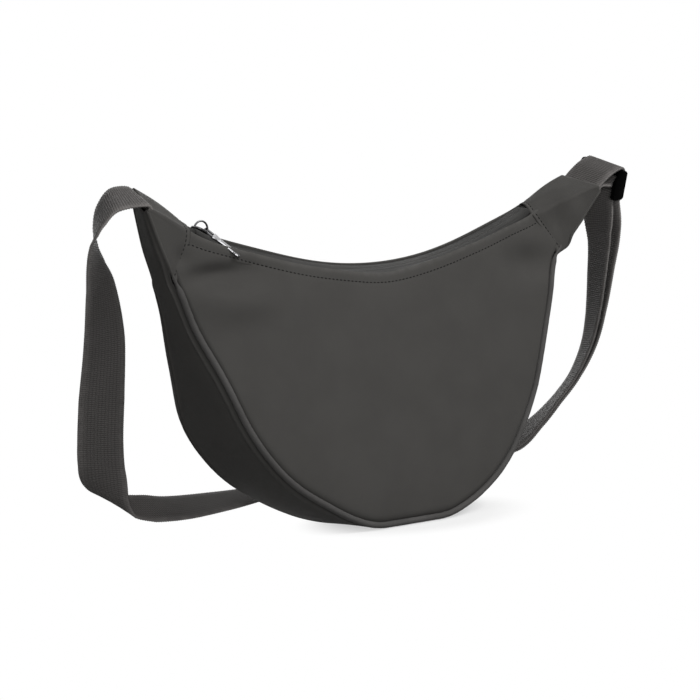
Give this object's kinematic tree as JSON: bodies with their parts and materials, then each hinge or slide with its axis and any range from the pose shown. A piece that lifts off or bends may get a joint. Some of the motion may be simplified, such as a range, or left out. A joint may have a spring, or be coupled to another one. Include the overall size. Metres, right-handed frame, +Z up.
{
  "type": "half moon shoulder bag",
  "caption": "Half moon cloth shoulder bag with a curved zip mouth, piped seams, a boxed gusset and an adjustable webbing strap on a plastic ring.",
  "frame": {"origin": "middle of the flat under the bag, on the surface that it stands on", "axes": "+X from the left tip to the right tip as seen from the front, -Y out of the front panel, +Z up"},
  "size_m": [0.4346, 0.1663, 0.2236],
  "materials": {
    "shell_cloth": "satin, tightly woven charcoal cloth",
    "lining_cloth": "plain woven lining",
    "piping_cloth": "shell cloth cut on the bias and stretched over a cord",
    "piping_filler": "extruded filler cord",
    "webbing": "finely cross-ribbed webbing",
    "zip_tape": "woven zip tape with fine lengthwise ribs",
    "zip_coil": "nylon coil",
    "plated_metal": "bright nickel plate",
    "black_plastic": "moulded black plastic with a soft gloss"
  },
  "bodies": {
    "bag": {"gusset": "shell_cloth", "left_end_patch": "shell_cloth", "right_end_patch": "shell_cloth", "gusset_lining": "lining_cloth", "strap": "webbing", "ring_tab": "webbing", "strap_ring": "black_plastic", "front_panel": "shell_cloth", "front_lining": "lining_cloth", "front_zip_tape": "zip_tape", "front_zip_coil": "zip_coil", "front_piping_cover": "piping_cloth", "front_piping_cord": "piping_filler", "back_panel": "shell_cloth", "back_lining": "lining_cloth", "back_zip_tape": "zip_tape", "back_zip_coil": "zip_coil", "back_piping_cover": "piping_cloth", "back_piping_cord": "piping_filler"},
    "slider": {"zip_slider": "plated_metal"},
    "pull": {"zip_pull": "plated_metal"},
    "adjuster": {"strap_adjuster": "black_plastic", "strap_end": "webbing"}
  },
  "joints": [
    {"name": "slider_travel", "type": "hinge", "parent": "bag", "child": "slider", "pos_m": [0, 0, 0.4535], "axis": [0, -1, 0], "range_deg": [0, 52]},
    {"name": "pull_swing", "type": "hinge", "parent": "slider", "child": "pull", "pos_m": [-0.12582, 0, 0.19108], "axis": [-0.4766, -0.848, 0.2317], "range_deg": [0, 120]},
    {"name": "adjuster_slide", "type": "slide", "parent": "bag", "child": "adjuster", "axis": [-0.9877, -0.1564, 0], "range_m": [0, 0.05]}
  ]
}
